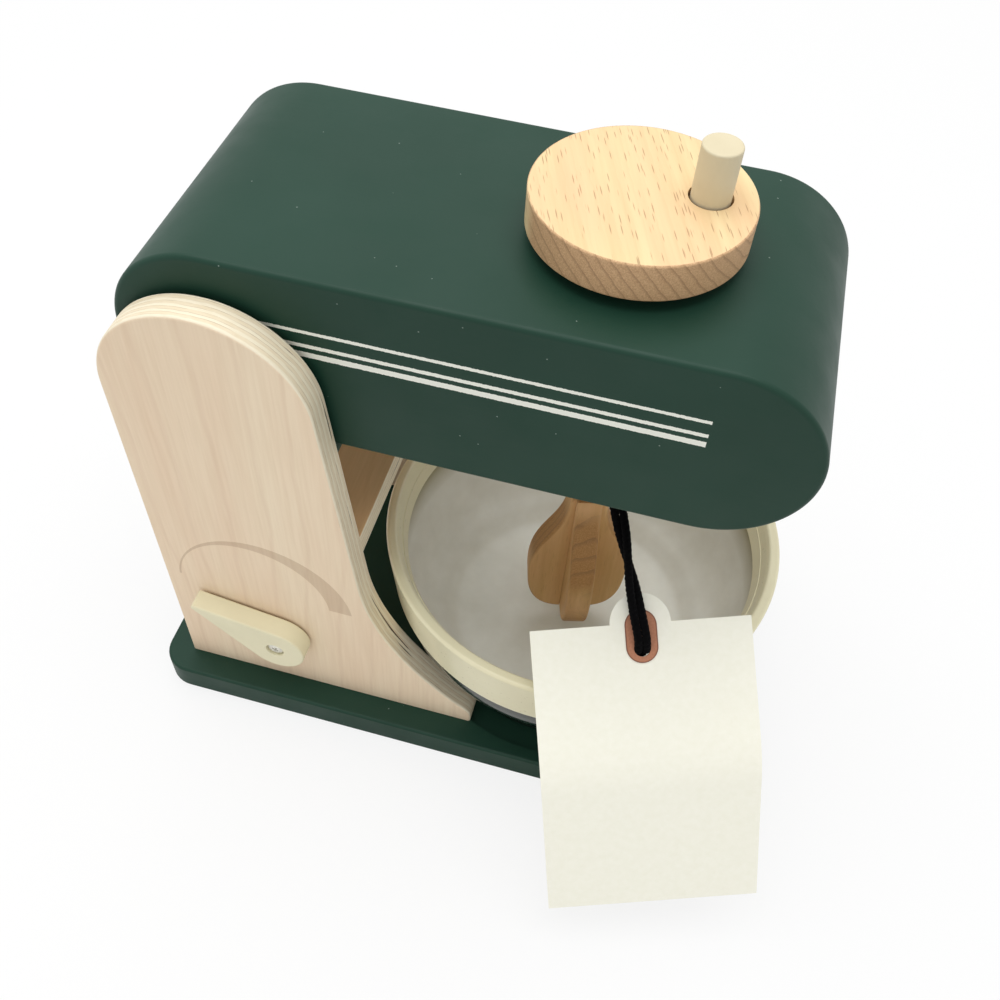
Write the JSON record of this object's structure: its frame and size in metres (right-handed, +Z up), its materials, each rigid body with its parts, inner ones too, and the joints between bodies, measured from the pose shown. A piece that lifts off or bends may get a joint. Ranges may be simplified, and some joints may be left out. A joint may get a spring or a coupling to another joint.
{
  "type": "toy kitchen mixer",
  "caption": "Wooden toy stand mixer with a tilting head, a hand crank disc that turns the beater, a speed lever and a lift-out bowl.",
  "frame": {"origin": "centre of the base plate's underside, on the table", "axes": "+Z up, +X towards the beater end of the head, +Y to the side without the lever"},
  "size_m": [0.2542, 0.2038, 0.254],
  "materials": {
    "green_paint": "satin dark green paint on wood",
    "plywood": "clear satin varnish on birch plywood",
    "beech": "clear satin varnish on beech",
    "cream_paint": "satin cream paint on wood",
    "zinc_steel": "zinc plated",
    "brass": "plain",
    "white_nylon": "matt",
    "green_lacquer": "gloss very dark green lacquer on wood",
    "cream_lacquer": "gloss cream lacquer on wood",
    "card": "matt white card",
    "tan_print": "matt tan print",
    "black_yarn": "matt braided cord"
  },
  "bodies": {
    "base": {"base_plate": "green_paint", "right_side_panel": "plywood", "left_side_panel": "plywood", "panel_screw_1": "zinc_steel", "panel_screw_2": "zinc_steel", "panel_screw_3": "zinc_steel", "panel_screw_4": "zinc_steel", "panel_screw_5": "zinc_steel", "panel_screw_6": "zinc_steel", "cross_shelf": "plywood", "shelf_dowel_1": "beech", "shelf_dowel_2": "beech", "shelf_dowel_3": "beech", "shelf_dowel_4": "beech", "stop_rail": "green_paint", "pivot_axle": "zinc_steel", "right_pivot_washer": "white_nylon", "left_pivot_washer": "white_nylon", "lever_insert": "brass", "lever_washer": "white_nylon", "lever_screw": "zinc_steel"},
    "lever": {"speed_lever": "cream_paint"},
    "head": {"head_right_cheek": "green_paint", "head_left_cheek": "green_paint", "head_skin": "green_paint", "pivot_block": "beech", "right_pivot_bush": "white_nylon", "left_pivot_bush": "white_nylon", "bearing_block": "beech", "upper_shaft_bush": "white_nylon", "lower_shaft_bush": "white_nylon", "disc_spacer": "white_nylon", "hang_tag": "card", "tag_patch": "tan_print", "tag_cord": "black_yarn", "cord_knot": "black_yarn"},
    "crank": {"crank_disc": "beech", "beater_shaft": "beech", "shaft_collar": "beech", "collar_pin": "zinc_steel", "beater_blade_upper": "beech", "beater_blade_lower": "beech"},
    "peg": {"crank_peg": "cream_paint", "peg_screw": "zinc_steel"},
    "bowl": {"bowl_shell": "green_lacquer", "bowl_rim": "cream_lacquer"}
  },
  "joints": [
    {"name": "head_tilt", "type": "hinge", "parent": "base", "child": "head", "pos_m": [-0.071, 0, 0.1885], "axis": [0, -1, 0], "range_deg": [0, 70]},
    {"name": "crank_spin", "type": "hinge", "parent": "head", "child": "crank", "pos_m": [0.0435, 0, 0.2315], "axis": [0, 0, 1], "continuous": true},
    {"name": "peg_spin", "type": "hinge", "parent": "crank", "child": "peg", "pos_m": [0.06195, 0.00362, 0.2415], "axis": [0, 0, 1], "continuous": true},
    {"name": "lever_turn", "type": "hinge", "parent": "base", "child": "lever", "pos_m": [-0.0617, -0.065, 0.048], "axis": [0, 1, 0], "range_deg": [0, 110]},
    {"name": "bowl_lift", "type": "slide", "parent": "base", "child": "bowl", "axis": [0, 0, 1], "range_m": [0, 0.006]}
  ]
}
